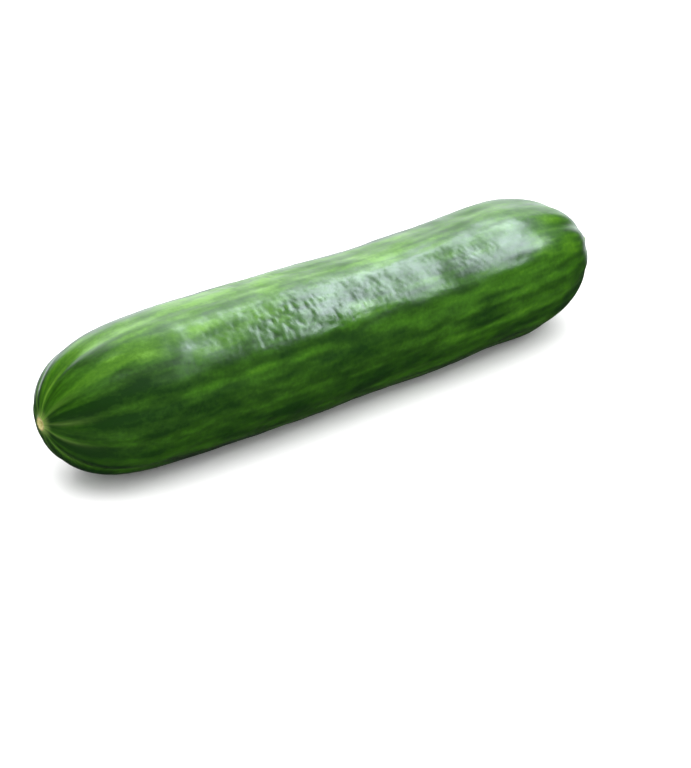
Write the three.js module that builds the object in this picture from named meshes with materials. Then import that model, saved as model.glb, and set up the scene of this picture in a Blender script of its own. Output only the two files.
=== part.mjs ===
// A whole cucumber, picked and uncut, lying on its side the way it rests on a table.
//
// Millimetres, +Z up. The fruit runs along X, from the blossom end at -X to the stem end at +X, and bows a little
// towards -Y. The origin is under the middle of the fruit, on the surface that it lies on.
//
// The fruit grew as one piece, so it is one solid: a lathed outline, from the corky scar of the flower to the cut
// stub of the stalk, whose vertices are moved in and out by the relief formulas below (ten lobes parted by shallow
// creases, lumps, low wrinkles across the skin) and then carried along a bowed spine.
import * as THREE from "three";

// Driving dimensions of the plain outline
const fruitLength = 210; // from the blossom pole to the shoulder round the stalk
const girthRadii = [23.1, 23.4, 23.8, 23.25, 23.15, 23.3, 22.65]; // evenly spaced, from blossom end to stem end
const blossomDome = { length: 47, power: 3.45 }; // the distance to full girth, and how blunt the end is
const stemDome = { length: 36, power: 2.1 };
const bow = { sideways: -1.4, skew: 0.15, lift: 1.4 }; // how far the spine leaves a straight line
const restingSpot = 0.55; // how deep the underside is pressed flat where the fruit lies

// The dot that the flower left at one pole, and the stalk, cut short, at the other
const blossomScar = { rimRadius: 1.9, rimWidth: 0.8, rimHeight: 0.5, pitRadius: 1, pitDepth: 0.5 };
const stalk = { radius: 3.6, length: 2.3, hollowRadius: 7.4, hollowDepth: 1.3, ridges: 5, ridgeHeight: 0.28 };

// Relief of the skin. The creases are where the pale stripes run, in degrees round the fruit: 90 is on top and 180
// faces -Y. Each lump is a wave: its length along the fruit, its turns round the fruit, its height and its phase.
const creaseAngles = [12, 50, 88, 125, 161, 192, 228, 264, 300, 336];
const creaseDepth = { middle: 0.28, blossom: 0.75, stem: 0.45, reach: 22, sharpness: 4 };
const lumps = [
  [61, 1, 0.21, 2.4], [43, 2, 0.17, 4.7], [29, -3, 0.14, 1.2], [21, 2, 0.11, 3.8],
  [17, -4, 0.09, 0.4], [13.5, 5, 0.08, 4.8], [11, -3, 0.07, 2.9], [9.2, 6, 0.06, 2.5],
];
const wrinkles = [[7.1, 9, 0.06, 0.7], [8.3, -7, 0.06, 5.1], [6.3, 4, 0.05, 1.9]];
const wrinkled = { from: 45, to: 165, fade: 25 }; // the stretch of the fruit with the low wrinkles

// Fineness of the faceted solid
const segments = 72;
const stations = { blossom: 19, body: 40, stem: 15 };

const { PI, abs, cos, exp, max, min, sin, sqrt } = Math;
const clamp = (x) => min(1, max(0, x));
const smooth = (x) => clamp(x) ** 2 * (3 - 2 * clamp(x));
const bell = (x, width) => exp(-((x / width) ** 2));
const waves = (list, along, angle) =>
  list.reduce((sum, [length, turns, height, phase]) =>
    sum + height * sin((2 * PI * along) / length + turns * angle + phase), 0);

// Radius of the fruit as if it had no round ends
const girthCurve = new THREE.SplineCurve(girthRadii.map((radius, i) => new THREE.Vector2(i, radius)));
const girthAt = (along) => girthCurve.getPoint(clamp(along / fruitLength)).y;

// A round end: 0 at its pole, 1 where the fruit has its full girth
const domeAt = (distance, { length, power }) => sqrt(1 - clamp(1 - distance / length) ** power);

// Radius of the plain outline, both ends rounded
const radiusAt = (along) =>
  girthAt(along) * domeAt(along, blossomDome) * domeAt(fruitLength - along, stemDome);

// Half of the lengthwise section, from the blossom scar to the cut of the stalk: radius and distance along the fruit
function section() {
  const points = [new THREE.Vector2(0, blossomScar.pitDepth)];
  const add = (radius, along) => points.push(new THREE.Vector2(radius, along));

  for (let i = 1; i <= stations.blossom; i++) {
    const along = blossomDome.length * (1 - cos(((i / stations.blossom) ** 1.25 * PI) / 2));
    const radius = radiusAt(along);
    const rim = blossomScar.rimHeight * bell(radius - blossomScar.rimRadius, blossomScar.rimWidth);
    const pit = blossomScar.pitDepth * bell(radius, blossomScar.pitRadius);
    add(radius, along - rim + pit);
  }

  const bodyEnd = fruitLength - stemDome.length;
  for (let i = 1; i <= stations.body; i++) {
    const along = THREE.MathUtils.lerp(blossomDome.length, bodyEnd, i / stations.body);
    add(radiusAt(along), along);
  }

  // The skin dips round the stalk, then sweeps up its side
  for (let i = 1; i <= stations.stem; i++) {
    const along = bodyEnd + stemDome.length * sin(((i / stations.stem) * PI) / 2);
    const radius = radiusAt(along);
    const dip = stalk.hollowDepth * smooth((stalk.hollowRadius * 1.5 - radius) / stalk.hollowRadius);
    if (radius > stalk.radius * 1.6) add(radius, along - dip);
  }
  const foot = fruitLength - stalk.hollowDepth;
  add(stalk.radius * 1.3, foot + 0.1);
  add(stalk.radius * 1.08, foot + 0.6);
  add(stalk.radius, foot + 1.5);
  add(stalk.radius, fruitLength + stalk.length - 0.4);
  add(stalk.radius * 0.9, fruitLength + stalk.length);
  add(0, fruitLength + stalk.length);
  return points;
}

// 1 on a crease, falling to 0 in the middle of a lobe
function creaseAt(angle) {
  const degrees = THREE.MathUtils.euclideanModulo((angle * 180) / PI - creaseAngles[0], 360) + creaseAngles[0];
  const edges = [...creaseAngles, creaseAngles[0] + 360];
  const next = edges.findIndex((edge) => degrees < edge);
  const share = (degrees - edges[next - 1]) / (edges[next] - edges[next - 1]);
  return abs(cos(PI * share)) ** creaseDepth.sharpness;
}

// How far the skin stands out from the plain outline
function reliefAt(along, angle) {
  const fromStem = fruitLength - along;
  const depth =
    creaseDepth.middle +
    creaseDepth.blossom * bell(along - 9, creaseDepth.reach) +
    creaseDepth.stem * bell(fromStem - 8, creaseDepth.reach);
  const calmEnds = 0.35 + 0.65 * smooth((along - 6) / 40) * smooth((fromStem - 12) / 30);
  const wrinkling =
    smooth((along - wrinkled.from) / wrinkled.fade) * smooth((wrinkled.to - along) / wrinkled.fade);
  const relief =
    calmEnds * waves(lumps, along, angle) + wrinkling * waves(wrinkles, along, angle) - depth * creaseAt(angle);
  return relief * smooth(along / 6) * smooth(fromStem / 7);
}

// A point of the spine, and the two directions across it
function spineAt(along) {
  const place = (a) => {
    const u = (2 * a) / fruitLength - 1;
    return new THREE.Vector3(
      a - fruitLength / 2,
      bow.sideways * (1 - u * u) + bow.skew * (u ** 3 - u),
      girthAt(a) + bow.lift * u * u - restingSpot,
    );
  };
  const step = 0.5;
  const forward = place(along + step).sub(place(along - step)).normalize();
  const side = new THREE.Vector3(0, 0, 1).cross(forward).normalize();
  return { centre: place(along), side, up: forward.clone().cross(side) };
}

function cucumberGeometry() {
  const outline = section();
  const frames = outline.map(({ y }) => spineAt(y));
  const geometry = new THREE.LatheGeometry(outline, segments);
  const position = geometry.getAttribute("position");
  for (let i = 0; i <= segments; i++) {
    const angle = ((i % segments) / segments) * 2 * PI;
    outline.forEach(({ x: radius, y: along }, j) => {
      const ridge = stalk.ridgeHeight * cos(stalk.ridges * angle) * smooth((along - fruitLength + 0.6) / 1.2);
      const reach = radius + (ridge + reliefAt(along, angle)) * smooth(radius / 3.2);
      const { centre, side, up } = frames[j];
      const point = centre
        .clone()
        .addScaledVector(side, reach * cos(angle))
        .addScaledVector(up, reach * sin(angle));
      position.setXYZ(i * outline.length + j, point.x, point.y, max(point.z, 0));
    });
  }
  geometry.computeBoundingBox();
  const { min: low, max: high } = geometry.boundingBox;
  geometry.translate(-(low.x + high.x) / 2, -(low.y + high.y) / 2, -low.z);
  geometry.computeVertexNormals();
  return geometry;
}

const skin = new THREE.MeshStandardMaterial({ color: 0x35611f, roughness: 0.34, metalness: 0 });
const cucumber = new THREE.Mesh(cucumberGeometry(), skin);
cucumber.name = "cucumber";

const part = new THREE.Group();
part.add(cucumber);

export default part;
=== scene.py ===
# A whole cucumber lying on its side on a pale floor, in soft studio light.
#
# The fruit is one closed surface, worked out from its distance along the fruit and its angle round it. The
# solid gives its place and size. This surface adds the fine wrinkles, the scar, the stalk's cut and the
# striped skin. Distances in the dictionaries are millimetres, and angles are degrees: 90 is on top and 180
# faces -Y.
import bpy
import numpy as np
from math import radians
from mathutils import Matrix, Vector


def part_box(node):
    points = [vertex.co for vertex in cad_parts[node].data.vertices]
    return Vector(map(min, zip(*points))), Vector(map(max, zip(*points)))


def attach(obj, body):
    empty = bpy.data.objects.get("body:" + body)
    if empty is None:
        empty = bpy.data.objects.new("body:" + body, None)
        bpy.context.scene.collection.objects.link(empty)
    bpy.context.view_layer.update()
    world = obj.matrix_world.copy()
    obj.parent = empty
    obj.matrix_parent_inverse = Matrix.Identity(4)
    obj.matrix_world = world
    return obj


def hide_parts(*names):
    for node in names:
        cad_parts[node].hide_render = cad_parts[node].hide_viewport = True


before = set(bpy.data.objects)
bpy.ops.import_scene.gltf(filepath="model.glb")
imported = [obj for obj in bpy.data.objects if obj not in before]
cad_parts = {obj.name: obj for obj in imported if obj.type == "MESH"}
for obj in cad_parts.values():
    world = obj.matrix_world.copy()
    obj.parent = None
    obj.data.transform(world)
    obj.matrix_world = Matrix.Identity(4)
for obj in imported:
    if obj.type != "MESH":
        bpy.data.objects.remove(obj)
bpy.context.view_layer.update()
mm = 0.001
pi = np.pi

fruit = {
    "length": 210,                # from the blossom pole to the shoulder round the stalk
    "girthRadii": [23.1, 23.4, 23.8, 23.25, 23.15, 23.3, 22.65],
    "blossomDome": (47, 3.45),    # distance to full girth, and how blunt the end is
    "stemDome": (36, 2.1),
    "bowSideways": -1.4,          # how far the spine leaves a straight line
    "bowSkew": 0.15,
    "bowLift": 1.4,
    "restingSpot": 0.55,          # how deep the underside is pressed flat
    "axisFade": 3.2,              # all relief fades out this close to the axis
    "outlinePoints": (4000, 1500, 3000),  # of the blossom dome, the body and the stem dome, before spacing
    "outlineStep": 0.04,
    "cornerSteps": 21,            # corners are rounded over this many steps
    "rows": 388,                  # of the finished surface
    "columns": 256,
    "endSpacing": 0.22,           # row spacing at the scar and the stalk
    "endReach": (4.5, 7),         # how far from the two poles the rows are close together
    "bodySpacing": 1.08,          # row spacing along the body, as a share of even spacing
}

scar = {
    "rimRadius": 1.9,
    "rimWidth": 0.8,
    "rimHeight": 0.5,
    "pitRadius": 1.0,
    "pitDepth": 0.5,
    "reach": 20,                  # the dot and the skin round it lie within this distance along the fruit
    "corkRadius": 2.1,            # the corky dot itself
    "corkEdge": (0.6, 0.9),       # where its ridges end beyond it, and how gently
    "blushRadius": 5.4,           # the yellow-green skin round it
    "lineReach": 7,               # how far its pale lines run along the fruit
    "lineStrength": 0.17,
    "lineSharpness": 4,
    "ridges": 11,
    "ridgeHeight": 0.1,
    "ridgeRadius": 1.3,           # where the ridges are highest
    "ridgeWidth": 0.7,
    "ridgeSway": 1.3,             # how unevenly they stand round the dot
}

stalk = {
    "radius": 3.6,
    "length": 2.3,
    "hollowRadius": 7.4,
    "hollowDepth": 1.3,
    "hollowRim": 1.5,             # where the skin starts to dip, as a share of the hollow's radius
    "shoulder": 1.6,              # where the skin ends and the foot starts, as a share of the stalk's radius
    # radius as a share of the stalk's, and height over the hollow and over the cut
    "foot": [(1.3, 0.1), (1.08, 0.6), (1, 1.5)],
    "cut": [(1, -0.3), (0.92, 0), (0, 0)],
    "ridges": 5,
    "ridgeHeight": 0.28,
    "fade": 1.2,                  # how gently the ridges and the stalk's colour set in
    "ridgesBelow": 0.6,           # how far under the shoulder the ridges set in
    "colorBelow": 1.4,            # how far under the shoulder the stalk's colour sets in
    "colorRadius": 9,
    "cutEdge": 0.25,              # the cut's colour starts this far under it
}

relief = {
    "creaseAngles": [12, 50, 88, 125, 161, 192, 228, 264, 300, 336],
    "creaseMiddle": 0.28,         # depth along the body
    "creaseBlossom": 0.6,         # added depth near the scar
    "creaseStem": 0.36,           # added depth near the stalk
    "creaseDeepest": (9, 8),      # how far from the two poles the added depth is full
    "creaseReach": 22,
    "creaseSharpness": 4,
    # each lump is a wave: length along the fruit, turns round it, height, phase
    "lumps": [
        (61, 1, 0.21, 2.4), (43, 2, 0.12, 4.7), (29, -3, 0.05, 1.2), (21, 2, 0.03, 3.8),
        (17, -4, 0.02, 0.4), (13.5, 5, 0.015, 4.8),
    ],
    "endLumps": 0.35,             # share of the lumps' height that is left at both ends
    "lumpsFromScar": (6, 40),     # where they start to rise, and over what distance
    "lumpsFromStalk": (12, 30),
    "plainEnds": (6, 7),          # all relief fades out this close to the two poles
    # random reliefs: spacing along the fruit, spacing round it, height
    "furrows": (34, 10, 0.06),
    "dimples": (8, 8, 0.02),
    "ribs": (20, 4.8, 0.025),
    "wrinkles": (2.6, 5, 0.034),
    "crackle": (1.8, 2.3, 0.036),
    "pebbles": (5.5, 6, 0.036),
    # angle, half width and strength of the sides that wrinkled while they grew
    "wrinkledSides": [(131, 21, 1.1), (62, 24, 0.75), (10, 20, 0.6), (215, 20, 0.6), (290, 30, 0.8)],
    "leastWrinkled": 0.12,        # strength between those sides
    "wrinkledFrom": 24,
    "wrinkledTo": 212,
    "wrinkleFade": 56,
    "calmPatches": (22, 11),      # spacing of the calmer patches along and round the fruit
    "patchContrast": 0.45,
    "mostWrinkled": 66,           # the skin is roughest up to here, and calmer towards the stem
    "roughReach": 30,
    "calmWrinkles": 0.15,         # share of the wrinkles that is left there
    "calmCrackle": 0.5,           # share of the crackle and the pebbles that is left there
    "wrinkleUnit": 0.1,           # the height that the material reads as 1
    "seed": 11,
    "sheetStep": 0.4,             # the random reliefs are worked out on sheets with this row spacing
    "sheetRows": 560,
    "bandWidths": (0.4, 0.7),     # how wide a sheet's band of waves is, and a blurred sheet's
    "sheetRadius": 23.3,          # round a fruit of this radius
}


# 0 below 0, 1 above 1 and an S-curve between
def smooth(x):
    x = np.clip(x, 0, 1)
    return x * x * (3 - 2 * x)


# A bell curve of height 1
def bell(x, width):
    return np.exp(-((x / width) ** 2))


# A smooth curve through evenly spaced values (Catmull-Rom), read at a share from 0 to 1
def curveAt(values, share):
    v = np.asarray(values, float)
    last = len(v) - 1
    place = np.clip(share, 0, 1) * last
    i = np.minimum(place.astype(int), last - 1)
    w = place - i
    before, a, b, after = v[np.maximum(i - 1, 0)], v[i], v[i + 1], v[np.minimum(i + 2, last)]
    inSlope, outSlope = (b - before) / 2, (after - a) / 2
    cubic = 2 * a - 2 * b + inSlope + outSlope
    square = 3 * b - 3 * a - 2 * inSlope - outSlope
    return cubic * w**3 + square * w**2 + inSlope * w + a


# The radius without round ends: a smooth curve through the girth's radii
def girthAt(along):
    return curveAt(fruit["girthRadii"], along / fruit["length"])


# The plain radius: the girth times a round end at each pole, sqrt(1 - (1 - distance / reach) ^ power)
def radiusAt(along):
    def dome(distance, reach, power):
        return np.sqrt(1 - np.clip(1 - distance / reach, 0, 1) ** power)

    fromStem = fruit["length"] - along
    return girthAt(along) * dome(along, *fruit["blossomDome"]) * dome(fromStem, *fruit["stemDome"])


# The distance travelled along a line of points, up to each of them
def arcLength(x, y):
    return np.concatenate([[0], np.cumsum(np.hypot(np.diff(x), np.diff(y)))])


# Half of the lengthwise section as a fine line, from the scar's middle to the middle of the stalk's cut. The
# radius is the plain one. The scar adds a rim and a pit, two bells of the radius, and the skin dips round the
# stalk by an S-curve of the radius.
def fineOutline():
    length = fruit["length"]
    domePoints, bodyPoints, endPoints = fruit["outlinePoints"]
    along = fruit["blossomDome"][0] * (1 - np.cos(np.linspace(0, pi / 2, domePoints)))
    radius = radiusAt(along)
    rim = scar["rimHeight"] * bell(radius - scar["rimRadius"], scar["rimWidth"])
    pit = scar["pitDepth"] * bell(radius, scar["pitRadius"])

    reach = fruit["stemDome"][0]
    body = np.linspace(along[-1], length - reach, bodyPoints)[1:]
    end = length - reach + reach * np.sin(np.linspace(0, pi / 2, endPoints))[1:]
    endRadius = radiusAt(end)
    inHollow = smooth((stalk["hollowRadius"] * stalk["hollowRim"] - endRadius) / stalk["hollowRadius"])
    end = end - stalk["hollowDepth"] * inHollow
    skin = endRadius > stalk["radius"] * stalk["shoulder"]
    foot = np.array(stalk["foot"]) * (stalk["radius"], 1) + (0, length - stalk["hollowDepth"])
    cut = np.array(stalk["cut"]) * (stalk["radius"], 1) + (0, length + stalk["length"])
    x = np.concatenate([radius, radiusAt(body), endRadius[skin], foot[:, 0], cut[:, 0]])
    y = np.concatenate([along - rim + pit, body, end[skin], foot[:, 1], cut[:, 1]])
    return x, y


# Radius and distance along the fruit for each row. The fine outline's corners are rounded by a moving
# average, with the line mirrored past both poles, and the rows are spread by arc length, closer together at
# the poles.
def outlineRows():
    x, y = fineOutline()
    arc = arcLength(x, y)
    even = np.arange(0, arc[-1], fruit["outlineStep"])
    x, y = np.interp(even, arc, x), np.interp(even, arc, y)
    kernel = np.hanning(fruit["cornerSteps"])
    kernel /= kernel.sum()
    pad = len(kernel) // 2
    x = np.convolve(np.concatenate([-x[pad:0:-1], x, -x[-2:-pad - 2:-1]]), kernel, "valid")
    y = np.convolve(np.concatenate([y[pad:0:-1], y, y[-2:-pad - 2:-1]]), kernel, "valid")

    arc = arcLength(x, y)
    nearPole = bell(arc, fruit["endReach"][0]) + bell(arc[-1] - arc, fruit["endReach"][1])
    wide = arc[-1] / fruit["rows"] * fruit["bodySpacing"]
    density = 1 / wide + (1 / fruit["endSpacing"] - 1 / wide) * np.clip(nearPole, 0, 1)
    count = np.concatenate([[0], np.cumsum((density[1:] + density[:-1]) / 2 * np.diff(arc))])
    rows = np.linspace(0, count[-1], fruit["rows"] + 2)[1:-1]
    return np.interp(rows, count, x), np.interp(rows, count, y)


# A random relief on a flat sheet of the skin, which closes on itself round the fruit. White noise keeps
# only the waves whose length is near a spacing along the fruit and another round it, or all the longer ones
# too where it is blurred. Its mean is 0 and its spread is 1.
def noiseSheet(seed, spacingAlong, spacingAround, blurred=False):
    rows, columns = relief["sheetRows"], fruit["columns"]
    noise = np.random.default_rng(relief["seed"] + seed).standard_normal((rows, columns))
    wavesAlong = np.fft.fftfreq(rows, relief["sheetStep"])[:, None] * spacingAlong
    columnStep = 2 * pi * relief["sheetRadius"] / columns
    wavesAround = np.fft.fftfreq(columns, columnStep)[None, :] * spacingAround
    ratio = np.hypot(wavesAlong, wavesAround)
    sharp, soft = relief["bandWidths"]
    kept = bell(ratio, soft) if blurred else bell(ratio - 1, sharp)
    sheet = np.fft.ifft2(np.fft.fft2(noise) * kept).real
    return (sheet - sheet.mean()) / sheet.std()


# The rows of a sheet at given distances along the fruit, mixed from the two nearest
def readSheet(sheet, along):
    place = np.clip(along / relief["sheetStep"], 0, len(sheet) - 2)
    i = place.astype(int)
    w = (place - i)[:, None]
    return sheet[i] * (1 - w) + sheet[i + 1] * w


# Angle between two directions round the fruit, from -180 to 180
def turnBetween(angle, other):
    return (angle - other + 180) % 360 - 180


# 1 on a crease, falling to 0 in the middle of a lobe: a power of the cosine of the way from one to the next
def creaseAt(degrees):
    edges = np.array(relief["creaseAngles"] + [relief["creaseAngles"][0] + 360], float)
    turned = (degrees - edges[0]) % 360 + edges[0]
    i = np.clip(np.searchsorted(edges, turned, side="right"), 1, len(edges) - 1)
    share = (turned - edges[i - 1]) / (edges[i] - edges[i - 1])
    return np.abs(np.cos(pi * share)) ** relief["creaseSharpness"]


# How wrinkled the skin is: bells round the fruit, fading towards both ends, less the calmer patches
def wrinkledAt(along, degrees):
    sides = sum(
        strength * bell(turnBetween(degrees, middle), width)
        for middle, width, strength in relief["wrinkledSides"])
    fade = relief["wrinkleFade"]
    ends = smooth((along - relief["wrinkledFrom"]) / fade) * smooth((relief["wrinkledTo"] - along) / fade)
    patches = readSheet(noiseSheet(40, *relief["calmPatches"], blurred=True), along[:, 0])
    contrast = relief["patchContrast"]
    calmest = 1 - contrast
    unevenness = calmest + contrast * smooth(patches * contrast + calmest)
    return (relief["leastWrinkled"] + sides) * ends * unevenness


# Height of the skin over the plain outline, and the part of it that is wrinkles. The height is waves and
# random sheets, each times its share at that place, less the creases' depth.
def reliefAt(along, angle):
    degrees = np.degrees(angle)
    fromStem = fruit["length"] - along
    fromDeepest = along - relief["creaseDeepest"][0], fromStem - relief["creaseDeepest"][1]
    depth = (relief["creaseMiddle"] + relief["creaseBlossom"] * bell(fromDeepest[0], relief["creaseReach"])
             + relief["creaseStem"] * bell(fromDeepest[1], relief["creaseReach"]))

    sheets = {}
    for seed, name in enumerate(("dimples", "ribs", "wrinkles", "crackle", "furrows", "pebbles")):
        spacingAlong, spacingAround, height = relief[name]
        sheets[name] = height * readSheet(noiseSheet(seed, spacingAlong, spacingAround), along[:, 0])

    rough = bell(np.maximum(along - relief["mostWrinkled"], 0), relief["roughReach"])
    calmWrinkles, calmCrackle = relief["calmWrinkles"], relief["calmCrackle"]
    fine = sheets["wrinkles"] * (calmWrinkles + (1 - calmWrinkles) * rough)
    fine = fine + (sheets["crackle"] + sheets["pebbles"]) * (calmCrackle + (1 - calmCrackle) * rough)
    fine = fine * wrinkledAt(along, degrees)

    lumps = sum(
        height * np.sin(2 * pi * along / wave + turns * angle + phase)
        for wave, turns, height, phase in relief["lumps"])
    (scarStart, scarRise), (stalkStart, stalkRise) = relief["lumpsFromScar"], relief["lumpsFromStalk"]
    pastScar = smooth((along - scarStart) / scarRise)
    pastStalk = smooth((fromStem - stalkStart) / stalkRise)
    lumpShare = relief["endLumps"] + (1 - relief["endLumps"]) * pastScar * pastStalk
    lumps = lumpShare * (lumps + sheets["furrows"] + sheets["dimples"] + sheets["ribs"])
    ends = smooth(along / relief["plainEnds"][0]) * smooth(fromStem / relief["plainEnds"][1])
    return (lumps + fine - depth * creaseAt(degrees)) * ends, fine * ends


# A point of the spine and the two directions across it, for each row. The spine bows sideways by a parabola
# with a skewed cubic, and lifts at both ends by a parabola.
def spineAt(along):
    def place(a):
        u = 2 * a / fruit["length"] - 1
        return np.stack([
            a - fruit["length"] / 2,
            fruit["bowSideways"] * (1 - u * u) + fruit["bowSkew"] * (u**3 - u),
            girthAt(a) + fruit["bowLift"] * u * u - fruit["restingSpot"],
        ], -1)

    step = 0.5
    forward = place(along + step) - place(along - step)
    forward /= np.linalg.norm(forward, axis=1, keepdims=True)
    side = np.cross([0, 0, 1], forward)
    side /= np.linalg.norm(side, axis=1, keepdims=True)
    return place(along), side, np.cross(forward, side)


stripes = {
    # angle at the blossom end and at the stem end, half width, and paleness at four places along the fruit
    "pale": [
        (74, 72, 8, 0.75, 0.8, 0.7, 0.5), (87, 86, 9, 1.0, 1.0, 0.85, 0.65),
        (98, 98, 6, 0.5, 0.85, 0.8, 0.7), (106, 106, 6, 0.45, 0.75, 0.65, 0.6),
        (113, 113, 5, 0.65, 0.85, 0.5, 0.5), (121, 121, 7, 0.62, 0.78, 0.38, 0.65),
        (129, 130, 5, 0.45, 0.72, 0.4, 0.55), (136, 139, 5, 0.24, 0.45, 0.55, 0.55),
        # the stripes at 144 and 159 grow paler towards the stem partly as painted light, standing in for
        # light bounced onto that lower side; the rest of their paleness is the skin's own colour
        (144, 149, 5, 0.04, 0.15, 0.5, 0.55), (159, 157, 5, 0.2, 0.36, 0.36, 0.5),
        (168, 167, 4, 0.2, 0.14, 0.24, 0.4), (178, 178, 5, 0.3, 0.2, 0.26, 0.3),
        (189, 189, 5, 0.4, 0.3, 0.34, 0.5), (198, 199, 4, 0.24, 0.16, 0.24, 0.3),
        (213, 211, 8, 0.32, 0.2, 0.2, 0.3), (228, 226, 8, 0.32, 0.4, 0.45, 0.6),
        (246, 244, 5, 0.25, 0.28, 0.32, 0.4), (264, 262, 7, 0.6, 0.58, 0.55, 0.6),
        (282, 284, 5, 0.3, 0.32, 0.36, 0.4), (300, 303, 8, 0.62, 0.64, 0.6, 0.65),
        (318, 318, 5, 0.35, 0.38, 0.4, 0.45), (336, 338, 7, 0.6, 0.62, 0.58, 0.65),
        (355, 355, 4, 0.3, 0.34, 0.36, 0.4), (12, 10, 8, 0.62, 0.68, 0.62, 0.65),
        (32, 30, 6, 0.4, 0.42, 0.45, 0.5), (50, 48, 8, 0.66, 0.7, 0.66, 0.62),
    ],
    "places": [0.06, 0.22, 0.48, 0.88],   # those four places, as shares of the length
    "flatness": 2.2,              # a stripe's edge is a bell curve with this power
    "wander": 1.8,                # how far a stripe strays to either side, in degrees
    "wanderSpacing": (40, 16),    # along and round the fruit
    "ground": 0.1,                # paleness of the skin between the stripes
    "tipShade": 0.45,             # how much darker the skin is towards the scar
    "tipLines": 0.13,             # extra paleness of the thin lines that run into the scar
    "tipWander": 0.5,             # how much of the wander they follow
    "tipReach": 13,
}


# How pale the skin is, from 0 to about 1: a flat-topped bell for each stripe, whose middle wanders, all
# darker near the scar but for thin lines in the creases
def palenessAt(along, degrees):
    share = along / fruit["length"]
    wander = readSheet(noiseSheet(60, *stripes["wanderSpacing"], blurred=True), along[:, 0])
    wander = stripes["wander"] * wander
    amount = np.full(np.broadcast_shapes(along.shape, degrees.shape), stripes["ground"])
    for start, end, width, *strengths in stripes["pale"]:
        away = turnBetween(degrees + wander, start + turnBetween(end, start) * share)
        strength = np.interp(share, stripes["places"], strengths)
        amount = amount + (strength - amount) * np.exp(-np.abs(away / width) ** stripes["flatness"])
    nearScar = bell(along, stripes["tipReach"])
    lines = stripes["tipLines"] * creaseAt(degrees + wander * stripes["tipWander"]) ** 2 * nearScar
    return amount * (1 - stripes["tipShade"] * nearScar) + lines


# The values that the material reads, for each point of the grid: the skin rolled out straight, so that
# streaks run along the fruit, the paleness and the wrinkles, and masks for the scar, the stalk and the
# stalk's cut
def skinValues(radius, along, angle, wrinkles):
    degrees = np.degrees(angle)
    girth = fruit["girthRadii"][3]
    straight = np.broadcast_arrays(along, girth * np.cos(angle), girth * np.sin(angle))
    nearScar = along < scar["reach"]
    blush = smooth((scar["blushRadius"] - radius) / scar["blushRadius"]) * nearScar
    lines = scar["lineStrength"] * creaseAt(degrees) ** scar["lineSharpness"]
    lines = lines * bell(along, scar["lineReach"])
    onStalk = smooth((along - fruit["length"] + stalk["colorBelow"]) / stalk["fade"])
    onCut = along > fruit["length"] + stalk["length"] - stalk["cutEdge"]
    elsewhere = 30                # a radius beyond every pattern that reads one
    values = {
        "paleness": palenessAt(along, degrees),
        "wrinkle": wrinkles / relief["wrinkleUnit"],
        "scarRadius": np.where(nearScar, radius, elsewhere),
        "blush": np.maximum(blush, lines),
        "stalk": onStalk * (radius < stalk["colorRadius"]),
        "cutRadius": np.where(onCut, radius, elsewhere),
    }
    whole = np.broadcast_shapes(along.shape, angle.shape)
    values = {name: np.broadcast_to(value, whole) for name, value in values.items()}
    return {"straight": np.stack(straight, -1)} | values


# The whole fruit as a grid of points: each is its row's spine point plus the radius, with all relief on it,
# times the direction across the spine. The scar's ridges stand out along the spine.
def fruitSurface():
    radius, along = outlineRows()
    radius, along = radius[:, None], along[:, None]
    columns = fruit["columns"]
    angle = (np.arange(columns) / columns * 2 * pi)[None, :]
    height, wrinkles = reliefAt(along, angle)
    onStub = smooth((along - fruit["length"] + stalk["ridgesBelow"]) / stalk["fade"])
    stubRidges = onStub * stalk["ridgeHeight"] * np.cos(stalk["ridges"] * angle)
    height = height + stubRidges * smooth(radius / stalk["radius"])
    reach = radius + height * smooth(radius / fruit["axisFade"])

    centre, side, up = spineAt(along[:, 0])
    across = np.cos(angle)[..., None] * side[:, None] + np.sin(angle)[..., None] * up[:, None]
    points = centre[:, None] + reach[..., None] * across
    beyond, fade = scar["corkEdge"]
    onScar = smooth((scar["corkRadius"] + beyond - radius) / fade) * (along < scar["reach"])
    sway = scar["ridgeSway"] * np.sin(3 * angle)
    spokes = np.cos(scar["ridges"] * angle + sway) * bell(radius - scar["ridgeRadius"], scar["ridgeWidth"])
    forward = np.cross(side, up)
    points = points - forward[:, None] * (onScar * scar["ridgeHeight"] * spokes)[..., None]
    poles = np.stack([points[0].mean(0), points[-1].mean(0)])
    points[..., 2] = np.maximum(points[..., 2], 0)
    return points, poles, skinValues(radius, along, angle, wrinkles)


# A closed mesh from a grid that wraps round: quads between the rows and a fan of triangles at each pole
def closedMesh(name, points, poles):
    rows, columns = points.shape[:2]
    index = np.arange(rows * columns).reshape(rows, columns)
    turned = np.roll(index, -1, axis=1)
    quads = np.stack([index[:-1], turned[:-1], turned[1:], index[1:]], -1).reshape(-1, 4)
    first, last = rows * columns, rows * columns + 1
    startFan = np.stack([np.full(columns, first), turned[0], index[0]], -1)
    endFan = np.stack([np.full(columns, last), index[-1], turned[-1]], -1)
    vertices = np.concatenate([points.reshape(-1, 3), poles])
    mesh = bpy.data.meshes.new(name)
    mesh.from_pydata(vertices, [], quads.tolist() + startFan.tolist() + endFan.tolist())
    mesh.polygons.foreach_set("use_smooth", np.ones(len(mesh.polygons), bool))
    mesh.update()
    return mesh


# Stores a value for each point of the grid, with the poles' as the mean of the nearest row
def storeValue(mesh, name, values):
    wide = values.ndim == 3
    rows = values.reshape(-1, 3) if wide else values.reshape(-1)
    poles = np.stack([values[0].mean(0), values[-1].mean(0)])
    data = np.concatenate([rows, poles]).astype(np.float32)
    attribute = mesh.attributes.new(name, "FLOAT_VECTOR" if wide else "FLOAT", "POINT")
    attribute.data.foreach_set("vector" if wide else "value", data.ravel())


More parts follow.
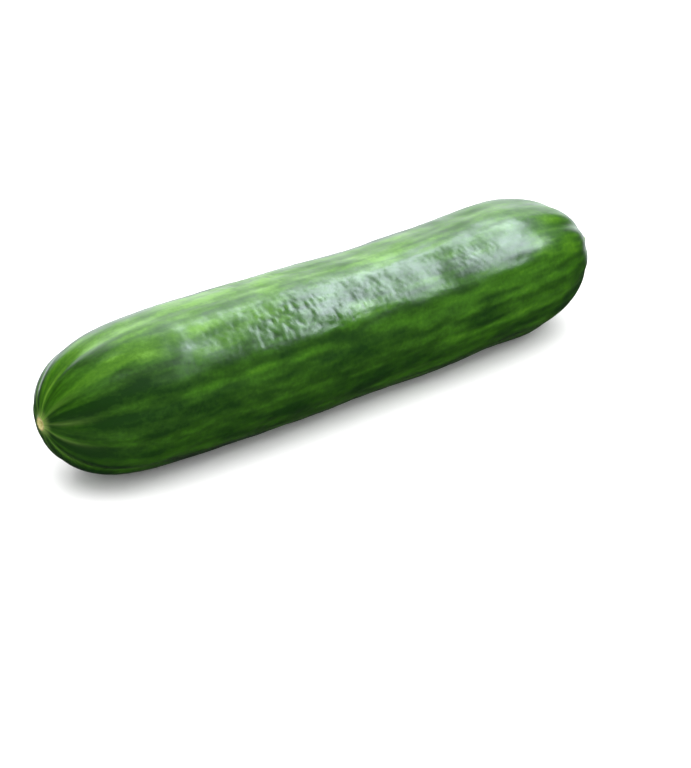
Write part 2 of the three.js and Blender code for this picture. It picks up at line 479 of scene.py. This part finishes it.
# Makes the fruit's surface, with the middle of its box over the middle of the solid's and both on the floor
def buildFruit():
    points, poles, values = fruitSurface()
    low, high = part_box("cucumber")
    flat = points.reshape(-1, 3)
    middle = (flat.min(0) + flat.max(0)) / 2
    solidMiddle = (low.x + high.x) / 2 / mm, (low.y + high.y) / 2 / mm
    shift = np.array([solidMiddle[0] - middle[0], solidMiddle[1] - middle[1], low.z / mm])
    mesh = closedMesh("cucumberSkin", (points + shift) * mm, (poles + shift) * mm)
    for name, value in values.items():
        storeValue(mesh, name, value)
    piece = bpy.data.objects.new("cucumberSkin", mesh)
    bpy.context.scene.collection.objects.link(piece)
    print("fruit:", len(mesh.polygons), "faces, shifted by", np.round(shift, 3), "mm")
    return piece


# The linear colour of an sRGB hex value
def linear(hexColor):
    s = np.array([int(hexColor[i:i + 2], 16) for i in (1, 3, 5)]) / 255
    return (*np.where(s <= 0.04045, s / 12.92, ((s + 0.055) / 1.055) ** 2.4), 1.0)


# Adds a node and returns one of its outputs. Inputs are values for its sockets or the outputs that feed them,
# and settings are its properties, where stops are the places and colours of a colour ramp.
def addNode(tree, kind, output, inputs, **settings):
    node = tree.nodes.new(kind)
    for i, (position, color) in enumerate(settings.pop("stops", [])):
        elements = node.color_ramp.elements
        stop = elements[i] if i < len(elements) else elements.new(position)
        stop.position = position
        stop.color = linear(color)
    for name, value in settings.items():
        setattr(node, name, value)
    for name, value in inputs.items():
        if isinstance(value, bpy.types.NodeSocket):
            tree.links.new(value, node.inputs[name])
        else:
            node.inputs[name].default_value = value
    return node.outputs[output] if node.outputs else node


skinLook = {
    # dark ground, olive, middle green, stripe and palest stripe
    "greens": [(0, "#0d2b04"), (0.25, "#1c3e03"), (0.5, "#2a5404"), (0.75, "#3f6c0a"), (1, "#5a8a24")],
    "streakSize": (13, 2.2),      # along and across, in millimetres
    "patchSize": (14, 5),
    "mottleSize": 1.3,
    "streakStrength": 0.45,       # how much each pattern changes the paleness
    "patchStrength": 1.1,
    "mottleStrength": 0.4,
    # painted shade in the grooves of the wrinkles: its colour, and how strongly it covers the green
    "grooveShadeColor": "#0c2402",
    "grooveShadeHeights": (-1, 0.1),   # of a wrinkle, where the groove's painted shade is strongest and where it ends
    "grooveShadeStrength": 0.45,
    "blushColor": "#839c4c",
    "blushStreaks": (0.25, 0.75),  # the streaks' values between which the blush grows to its full strength
    "blushLeast": 0.4,            # strength of the blush between its streaks
    "cork": [(0, "#6b6238"), (0.2, "#98945a"), (0.45, "#b0aa74"), (0.62, "#94825a"), (0.8, "#869650")],
    "corkRings": (0.4, 3.4),      # the radii over which the cork's colours run
    "corkWobble": 0.8,            # how far the mottle shifts them
    "corkFade": 0.5,
    "stalkColor": "#66803a",
    "stalkStrength": 0.8,
    "flesh": [(0, "#a9b077"), (0.42, "#bcc38e"), (0.52, "#7f9152"), (0.68, "#b3bb83"), (0.86, "#6f7a42")],
    "fleshRings": (0.25, 4.25),
    "fleshWobble": 0.5,
    "cutRadii": (4.2, 4.6),       # the cut's colour fades out between them
    "roughness": 0.4,
    "roughnessSpread": 0.05,
    "roughnessMottle": (0.3, 0.7),  # the mottle's values over which it spreads
    "matteRoughness": 0.4,        # how much rougher the cork and the cut are
    "rindIor": 1.4,
    "specularLevel": 0.1,
    "waxIor": 1.4,
    "waxRoughness": 0.26,
    "waxPatchSize": (9, 6),       # the wax is thinner in patches of this size
    "waxPatches": (0.36, 0.62),   # the patches' values where it is thinnest and where it is full
    "waxWeight": (0.58, 1.0),     # its weight at those two
    "grainHeight": 0.02,          # fine grain of the wax, in millimetres
    "grainStreaks": 0.7,          # how much of it is streaks
}


# A cloudy pattern from 0 to 1, stretched to a size along and across the fruit
def cloudPattern(tree, place, size, detail, roughness, shift=(0, 0, 0)):
    along, across = size
    stretched = addNode(tree, "ShaderNodeMapping", 0, {
        "Vector": place, "Location": shift, "Scale": (1 / along, 1 / across, 1 / across)})
    return addNode(tree, "ShaderNodeTexNoise", 0, {
        "Vector": stretched, "Scale": 1, "Detail": detail, "Roughness": roughness})


# The stripes' green: their paleness plus each pattern, counted from the pattern's middle value of a half,
# read off the scale of greens
def stripedGreen(tree, streaks, patches, mottle):
    look = skinLook
    patterns = [
        (streaks, look["streakStrength"]), (patches, look["patchStrength"]), (mottle, look["mottleStrength"])]
    middle = sum(strength for pattern, strength in patterns) / 2
    pale = addNode(tree, "ShaderNodeAttribute", "Fac", {}, attribute_name="paleness")
    pale = addNode(tree, "ShaderNodeMath", 0, {0: pale, 1: middle}, operation="SUBTRACT")
    for pattern, strength in patterns:
        pale = addNode(tree, "ShaderNodeMath", 0, {
            0: pattern, 1: strength, 2: pale}, operation="MULTIPLY_ADD")
    return addNode(tree, "ShaderNodeValToRGB", 0, {0: pale}, stops=look["greens"])


# Ring colours round an axis: the radius plus some mottle, from the inner to the outer of two radii
def ringColor(tree, radius, mottle, wobble, radii, stops):
    place = addNode(tree, "ShaderNodeMath", 0, {0: mottle, 1: wobble, 2: radius}, operation="MULTIPLY_ADD")
    inner, outer = radii
    place = addNode(tree, "ShaderNodeMapRange", 0, {"Value": place, "From Min": inner, "From Max": outer})
    return addNode(tree, "ShaderNodeValToRGB", 0, {0: place}, stops=stops)


# Waxy cucumber skin: a tough glossy rind under a thin natural wax. The rind gives a soft highlight, and the
# wax adds a thinner, sharper one. Dark, olive and pale green follow the stripes, broken up by streaks along
# the fruit, and painted shade darkens the grooves of the wrinkles. The cork of the scar and the flesh of the
# stalk's cut are matte.
def skinMaterial():
    material = bpy.data.materials.new("waxyCucumberSkin")
    material.use_nodes = True
    tree = material.node_tree
    tree.nodes.clear()
    look = skinLook

    place = addNode(tree, "ShaderNodeAttribute", "Vector", {}, attribute_name="straight")
    streaks = cloudPattern(tree, place, look["streakSize"], detail=2, roughness=0.45)
    patches = cloudPattern(tree, place, look["patchSize"], detail=2, roughness=0.5)
    mottle = addNode(tree, "ShaderNodeTexNoise", 0, {
        "Vector": place, "Scale": 1 / look["mottleSize"], "Detail": 3, "Roughness": 0.6})
    green = stripedGreen(tree, streaks, patches, mottle)

    # painted shade: a little darker in the grooves of the wrinkles
    wrinkle = addNode(tree, "ShaderNodeAttribute", "Fac", {}, attribute_name="wrinkle")
    deepest, rim = look["grooveShadeHeights"]
    paintedGrooveShade = addNode(tree, "ShaderNodeMapRange", 0, {
        "Value": wrinkle, "From Min": deepest, "From Max": rim,
        "To Min": look["grooveShadeStrength"], "To Max": 0}, interpolation_type="SMOOTHSTEP")

    # yellow-green skin round the scar, in streaks, and the corky dot
    blush = addNode(tree, "ShaderNodeAttribute", "Fac", {}, attribute_name="blush")
    faint, strong = look["blushStreaks"]
    uneven = addNode(tree, "ShaderNodeMapRange", 0, {
        "Value": streaks, "From Min": faint, "From Max": strong, "To Min": look["blushLeast"], "To Max": 1})
    blush = addNode(tree, "ShaderNodeMath", 0, {0: blush, 1: uneven}, operation="MULTIPLY")
    scarRadius = addNode(tree, "ShaderNodeAttribute", "Fac", {}, attribute_name="scarRadius")
    cork = ringColor(tree, scarRadius, mottle, look["corkWobble"], look["corkRings"], look["cork"])
    onScar = addNode(tree, "ShaderNodeMapRange", 0, {
        "Value": scarRadius, "From Min": scar["corkRadius"] - look["corkFade"],
        "From Max": scar["corkRadius"] + look["corkFade"], "To Min": 1, "To Max": 0},
        interpolation_type="SMOOTHSTEP")

    # the stalk, and the rings on its cut
    onStalk = addNode(tree, "ShaderNodeAttribute", "Fac", {}, attribute_name="stalk")
    onStalk = addNode(tree, "ShaderNodeMath", 0, {0: onStalk, 1: look["stalkStrength"]}, operation="MULTIPLY")
    cutRadius = addNode(tree, "ShaderNodeAttribute", "Fac", {}, attribute_name="cutRadius")
    flesh = ringColor(tree, cutRadius, mottle, look["fleshWobble"], look["fleshRings"], look["flesh"])
    inner, outer = look["cutRadii"]
    onCut = addNode(tree, "ShaderNodeMapRange", 0, {
        "Value": cutRadius, "From Min": inner, "From Max": outer, "To Min": 1, "To Max": 0})

    # each layer covers those before it by its share
    color = green
    # the first layer is the painted shade in the grooves of the wrinkles
    layers = [
        (paintedGrooveShade, linear(look["grooveShadeColor"])), (blush, linear(look["blushColor"])), (onScar, cork),
        (onStalk, linear(look["stalkColor"])), (onCut, flesh),
    ]
    for share, layer in layers:
        color = addNode(tree, "ShaderNodeMix", 2, {0: share, 6: color, 7: layer}, data_type="RGBA")

    # the cork and the cut are matte, and the wax is uneven
    matte = addNode(tree, "ShaderNodeMath", 0, {0: onScar, 1: onCut}, operation="MAXIMUM")
    low, high = look["roughnessMottle"]
    spread = look["roughnessSpread"]
    roughness = addNode(tree, "ShaderNodeMapRange", 0, {
        "Value": mottle, "From Min": low, "From Max": high,
        "To Min": look["roughness"] - spread, "To Max": look["roughness"] + spread})
    roughness = addNode(tree, "ShaderNodeMath", 0, {
        0: matte, 1: look["matteRoughness"], 2: roughness}, operation="MULTIPLY_ADD")
    wax = cloudPattern(tree, place, look["waxPatchSize"], detail=5, roughness=0.68, shift=(7, 3, 5))
    low, high = look["waxPatches"]
    thinnest, full = look["waxWeight"]
    wax = addNode(tree, "ShaderNodeMapRange", 0, {
        "Value": wax, "From Min": low, "From Max": high, "To Min": thinnest, "To Max": full})
    waxed = addNode(tree, "ShaderNodeMath", 0, {0: 1, 1: matte}, operation="SUBTRACT")
    wax = addNode(tree, "ShaderNodeMath", 0, {0: waxed, 1: wax}, operation="MULTIPLY")
    grain = addNode(tree, "ShaderNodeMath", 0, {
        0: streaks, 1: look["grainStreaks"], 2: mottle}, operation="MULTIPLY_ADD")
    normal = addNode(tree, "ShaderNodeBump", 0, {
        "Strength": 1, "Distance": look["grainHeight"] * mm, "Height": grain})
    shader = addNode(tree, "ShaderNodeBsdfPrincipled", 0, {
        "Base Color": color, "Roughness": roughness, "Normal": normal, "Coat Weight": wax,
        "IOR": look["rindIor"], "Specular IOR Level": look["specularLevel"],
        "Coat Roughness": look["waxRoughness"], "Coat IOR": look["waxIor"]})
    addNode(tree, "ShaderNodeOutputMaterial", 0, {"Surface": shader})
    return material


studio = {
    # azimuth and elevation of each panel's middle, elevation that it faces, roll, width and height as
    # shares of its distance, brightness, colour, and use: a card is only mirrored in the skin, and a lamp
    # only lights. A round card's shine fades out at its ends.
    "panels": {
        "frontCard": (-14, 48.2, 48.2, 23.5, 1.2, 0.2, 16.5, "#e8f5ff", "roundCard"),
        "edgeCard": (36, 48, 48, 0, 0.4, 0.34, 1.6, "#e8f5ff", "card"),
        "backCard": (56, 50.7, 0, 0, 1.4, 2.16, 1.65, "#f2faff", "card"),
        "lowCard": (56, -9.4, 0, 0, 1.4, 0.61, 1.1, "#f2faff", "card"),
        "tipCard": (79, 84, 84, 0, 0.14, 0.14, 3.5, "#e8f5ff", "card"),
        "topLamp": (20, 80, 80, 0, 2.0, 2.0, 2.4, "#ffffff", "lamp"),
        "frontLamp": (-80, 28, 28, 0, 2.0, 1.0, 1.4, "#ffffff", "lamp"),
        "leftLamp": (190, 28, 28, 0, 1.4, 1.0, 0.7, "#ffffff", "lamp"),
        "backLamp": (90, 35, 35, 0, 1.6, 1.0, 0.8, "#ffffff", "lamp"),
    },
    "distance": 3000,
    "wattsPerArea": 4,            # of a panel of brightness 1, for each square metre
    "world": ("#eef3ff", 0.03),
    "backdrop": 1.2,              # how bright the room looks behind the floor, without lighting the fruit
    "floorSize": 5200,
    "floorDrop": 0.02,            # keeps the floor just clear of the fruit's pressed spot
    "floorColor": "#f4f4f4",
    "floorRoughness": 0.9,
}


# The direction to an azimuth, counted from +X, and an elevation
def direction(azimuth, elevation):
    a, e = radians(azimuth), radians(elevation)
    return Vector((np.cos(a) * np.cos(e), np.sin(a) * np.cos(e), np.sin(e)))


# A flat panel that faces the fruit: its watts are its brightness times its area times the watts per area
def addPanel(name, azimuth, elevation, faces, roll, width, height, brightness, color, use):
    far = studio["distance"] * mm
    lamp = bpy.data.lights.new(name, "AREA")
    lamp.shape = "ELLIPSE" if use == "roundCard" else "RECTANGLE"
    lamp.size, lamp.size_y = width * far, height * far
    lamp.energy = brightness * width * height * far**2 * studio["wattsPerArea"]
    lamp.color = linear(color)[:3]
    panel = bpy.data.objects.new(name, lamp)
    facing = direction(azimuth, faces).to_track_quat("Z", "Y").to_matrix()
    facing = facing @ Matrix.Rotation(radians(roll), 3, "Z")
    toPanel = direction(azimuth, elevation) / np.cos(radians(elevation - faces))
    panel.matrix_world = Matrix.Translation(toPanel * far) @ facing.to_4x4()
    panel.visible_camera = False
    panel.visible_diffuse = use == "lamp"
    panel.visible_glossy = use != "lamp"
    bpy.context.scene.collection.objects.link(panel)


# All the cards and lamps round the fruit
def buildPanels():
    for name, values in studio["panels"].items():
        addPanel(name, *values)


# The paper floor, a square that fills the view
def buildFloor():
    half, low = studio["floorSize"] / 2 * mm, -studio["floorDrop"] * mm
    corners = [(-half, -half, low), (half, -half, low), (half, half, low), (-half, half, low)]
    mesh = bpy.data.meshes.new("paleFloor")
    mesh.from_pydata(corners, [], [(0, 1, 2, 3)])
    floor = bpy.data.objects.new("paleFloor", mesh)
    floor.visible_glossy = False
    bpy.context.scene.collection.objects.link(floor)
    paper = bpy.data.materials.new("whiteStudioPaper")
    paper.use_nodes = True
    shader = paper.node_tree.nodes["Principled BSDF"]
    shader.inputs["Base Color"].default_value = linear(studio["floorColor"])
    shader.inputs["Roughness"].default_value = studio["floorRoughness"]
    shader.inputs["Specular IOR Level"].default_value = 0
    mesh.materials.append(paper)


# A room that is dim to the fruit and bright to the eye, so that no horizon shows behind the floor
def buildRoom():
    world = bpy.data.worlds.new("dimStudio")
    bpy.context.scene.world = world
    world.use_nodes = True
    tree = world.node_tree
    background = tree.nodes["Background"]
    color, strength = studio["world"]
    background.inputs["Color"].default_value = linear(color)
    seen = addNode(tree, "ShaderNodeLightPath", "Is Camera Ray", {})
    seen = addNode(tree, "ShaderNodeMapRange", 0, {
        "Value": seen, "To Min": strength, "To Max": studio["backdrop"]})
    tree.links.new(seen, background.inputs["Strength"])
    bpy.context.scene.view_settings.view_transform = "Standard"


camera = {
    "azimuth": -37.05,            # stands to the left of straight in front
    "elevation": 28.56,
    "distance": 727,
    "aim": (-0.9, -7.9, 6.7),
    "lens": 106.9,
    "sensor": 36,
    "clip": (0.01, 50),           # the nearest and the furthest that it sees, in metres
}


# The camera looks at its aim, from its distance in the direction of its azimuth and elevation
def buildCamera():
    lens = bpy.data.cameras.new("camera")
    lens.lens = camera["lens"]
    lens.sensor_width = camera["sensor"]
    lens.clip_start, lens.clip_end = camera["clip"]
    piece = bpy.data.objects.new("camera", lens)
    bpy.context.scene.collection.objects.link(piece)
    back = direction(camera["azimuth"] - 90, camera["elevation"])
    piece.location = Vector(camera["aim"]) * mm + back * camera["distance"] * mm
    piece.rotation_euler = back.to_track_quat("Z", "Y").to_euler()
    bpy.context.scene.camera = piece


buildCamera()
buildFloor()
buildRoom()
buildPanels()
print("studio and camera: done")
cucumber = buildFruit()
cucumber.data.materials.append(skinMaterial())
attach(cucumber, "root")
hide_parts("cucumber")
print("skin: done")
